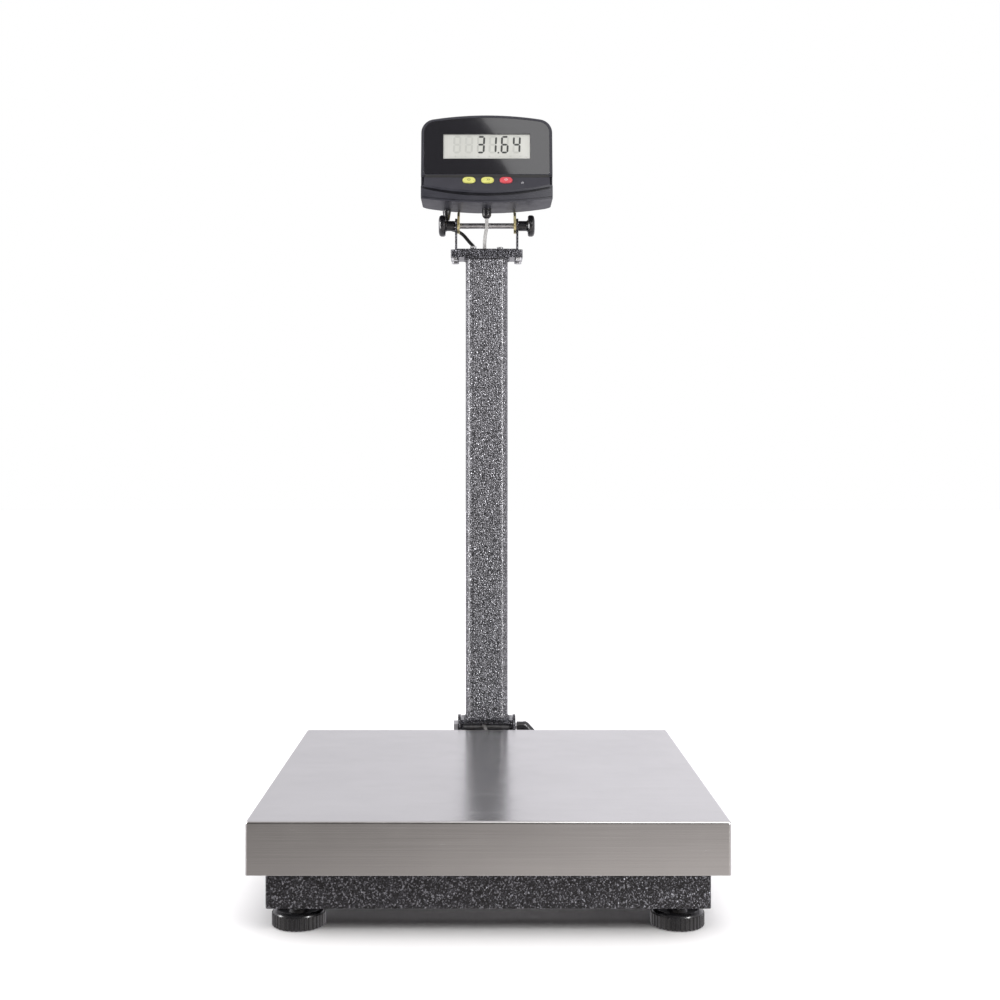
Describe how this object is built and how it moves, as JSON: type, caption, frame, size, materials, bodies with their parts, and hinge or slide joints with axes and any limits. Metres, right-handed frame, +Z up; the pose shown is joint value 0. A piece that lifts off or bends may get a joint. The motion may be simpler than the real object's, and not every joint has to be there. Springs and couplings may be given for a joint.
{
  "type": "bench scale",
  "caption": "Bench scale: square brushed steel tray on a hammertone base frame with knurled levelling feet, and a tilting digital indicator on a folding mast.",
  "frame": {"origin": "on the floor, under the middle of the whole footprint", "axes": "+X to the user's right, +Y away from the user, +Z up; the indicator faces -Y"},
  "size_m": [0.5, 0.5846, 0.9846],
  "materials": {
    "hammer_paint": "dark grey hammertone paint",
    "hammer_paint_light": "grey hammertone paint",
    "stainless": "brushed stainless sheet",
    "steel": "zinc plated steel",
    "cell_aluminium": "machined",
    "yellow_zinc": "yellow passivated zinc",
    "black_plastic": "moulded nylon",
    "rubber": "moulded rubber",
    "case_plastic": "fine textured moulding",
    "lens_plastic": "glossy panel",
    "lcd": "reflective liquid crystal display",
    "board": "circuit board",
    "battery_wrap": "shrink sleeve",
    "key_yellow": "soft moulded key",
    "key_red": "soft moulded key",
    "cable_grey": "PVC sheath",
    "cable_black": "PVC sheath",
    "level_green": "clear vial"
  },
  "bodies": {
    "base": {"base_frame": "hammer_paint", "base_beam": "hammer_paint", "foot_nut_plates": "steel", "foot_lock_nuts": "steel", "cell_spacers": "steel", "load_cell": "cell_aluminium", "cell_bolts": "steel", "tray_carrier": "hammer_paint", "tray_pads": "rubber", "stop_screws": "steel", "bubble_level": "level_green", "base_gland": "black_plastic", "cell_cable": "cable_grey", "mast_bracket": "hammer_paint", "bracket_screws": "steel", "fold_bolt": "steel"},
    "tray": {"tray": "stainless"},
    "clamp_lever": {"clamp_lever": "black_plastic"},
    "sole_front_left": {"foot_sole_front_left": "rubber"},
    "foot_front_left": {"foot_disc_front_left": "black_plastic", "foot_stud_front_left": "steel"},
    "sole_front_right": {"foot_sole_front_right": "rubber"},
    "foot_front_right": {"foot_disc_front_right": "black_plastic", "foot_stud_front_right": "steel"},
    "sole_rear_left": {"foot_sole_rear_left": "rubber"},
    "foot_rear_left": {"foot_disc_rear_left": "black_plastic", "foot_stud_rear_left": "steel"},
    "sole_rear_right": {"foot_sole_rear_right": "rubber"},
    "foot_rear_right": {"foot_disc_rear_right": "black_plastic", "foot_stud_rear_right": "steel"},
    "mast": {"mast_foot": "hammer_paint", "mast_tube": "hammer_paint_light", "mast_plate": "hammer_paint", "head_plate": "hammer_paint", "head_bracket": "hammer_paint", "plate_bolts": "steel", "plate_grommets": "rubber", "mast_cable": "cable_grey", "mast_lead": "cable_black", "power_socket": "black_plastic", "tilt_shaft": "steel", "fold_cable": "cable_grey", "head_cable": "cable_grey", "head_lead": "cable_black"},
    "knob_left": {"knob_left": "black_plastic"},
    "knob_right": {"knob_right": "black_plastic"},
    "head": {"head_yoke": "yellow_zinc", "yoke_screws": "steel", "front_shell": "case_plastic", "rear_shell": "case_plastic", "display_lens": "lens_plastic", "display": "lcd", "main_board": "board", "key_board": "board", "battery": "battery_wrap", "case_screws": "steel", "head_glands": "black_plastic"},
    "key_zero": {"key_zero": "key_yellow"},
    "key_tare": {"key_tare": "key_yellow"},
    "key_power": {"key_power": "key_red"}
  },
  "joints": [
    {"name": "tray_lift", "type": "slide", "parent": "base", "child": "tray", "axis": [0, 0, 1], "range_m": [0, 0.02]},
    {"name": "mast_fold", "type": "hinge", "parent": "base", "child": "mast", "pos_m": [0, 0.26275, 0.1155], "axis": [1, 0, 0], "range_deg": [0, 45], "deforming": ["fold_cable"]},
    {"name": "clamp_lever_turn", "type": "hinge", "parent": "base", "child": "clamp_lever", "pos_m": [0.05, 0.26275, 0.1155], "axis": [1, 0, 0], "range_deg": [0, 180]},
    {"name": "head_tilt", "type": "hinge", "parent": "mast", "child": "head", "pos_m": [0, 0.26275, 0.832], "axis": [1, 0, 0], "range_deg": [-30, 40], "deforming": ["head_cable", "head_lead"]},
    {"name": "knob_left_turn", "type": "hinge", "parent": "mast", "child": "knob_left", "pos_m": [-0.06, 0.26275, 0.832], "axis": [1, 0, 0], "range_deg": [0, 360]},
    {"name": "knob_right_turn", "type": "hinge", "parent": "mast", "child": "knob_right", "pos_m": [0.06, 0.26275, 0.832], "axis": [1, 0, 0], "range_deg": [-360, 0]},
    {"name": "foot_height_front_left", "type": "slide", "parent": "base", "child": "sole_front_left", "axis": [0, 0, 1], "range_m": [-0.0101, 0.0026]},
    {"name": "foot_turn_front_left", "type": "hinge", "parent": "sole_front_left", "child": "foot_front_left", "pos_m": [-0.201, -0.24325, 0.01], "axis": [0, 0, 1], "range_deg": [-2400, 600]},
    {"name": "foot_height_front_right", "type": "slide", "parent": "base", "child": "sole_front_right", "axis": [0, 0, 1], "range_m": [-0.0101, 0.0026]},
    {"name": "foot_turn_front_right", "type": "hinge", "parent": "sole_front_right", "child": "foot_front_right", "pos_m": [0.201, -0.24325, 0.01], "axis": [0, 0, 1], "range_deg": [-2400, 600]},
    {"name": "foot_height_rear_left", "type": "slide", "parent": "base", "child": "sole_rear_left", "axis": [0, 0, 1], "range_m": [-0.0101, 0.0026]},
    {"name": "foot_turn_rear_left", "type": "hinge", "parent": "sole_rear_left", "child": "foot_rear_left", "pos_m": [-0.201, 0.15875, 0.01], "axis": [0, 0, 1], "range_deg": [-2400, 600]},
    {"name": "foot_height_rear_right", "type": "slide", "parent": "base", "child": "sole_rear_right", "axis": [0, 0, 1], "range_m": [-0.0101, 0.0026]},
    {"name": "foot_turn_rear_right", "type": "hinge", "parent": "sole_rear_right", "child": "foot_rear_right", "pos_m": [0.201, 0.15875, 0.01], "axis": [0, 0, 1], "range_deg": [-2400, 600]},
    {"name": "key_zero_press", "type": "slide", "parent": "head", "child": "key_zero", "axis": [0, 0.766, -0.6428], "range_m": [0, 0.0012], "stiffness_N_per_m": 800, "springref_m": -0.001},
    {"name": "key_tare_press", "type": "slide", "parent": "head", "child": "key_tare", "axis": [0, 0.766, -0.6428], "range_m": [0, 0.0012], "stiffness_N_per_m": 800, "springref_m": -0.001},
    {"name": "key_power_press", "type": "slide", "parent": "head", "child": "key_power", "axis": [0, 0.766, -0.6428], "range_m": [0, 0.0012], "stiffness_N_per_m": 800, "springref_m": -0.001}
  ],
  "couplings": [
    {"joint": "foot_height_front_left", "follows": "foot_turn_front_left", "m_per_rad": 0.00023873},
    {"joint": "foot_height_front_right", "follows": "foot_turn_front_right", "m_per_rad": 0.00023873},
    {"joint": "foot_height_rear_left", "follows": "foot_turn_rear_left", "m_per_rad": 0.00023873},
    {"joint": "foot_height_rear_right", "follows": "foot_turn_rear_right", "m_per_rad": 0.00023873}
  ]
}
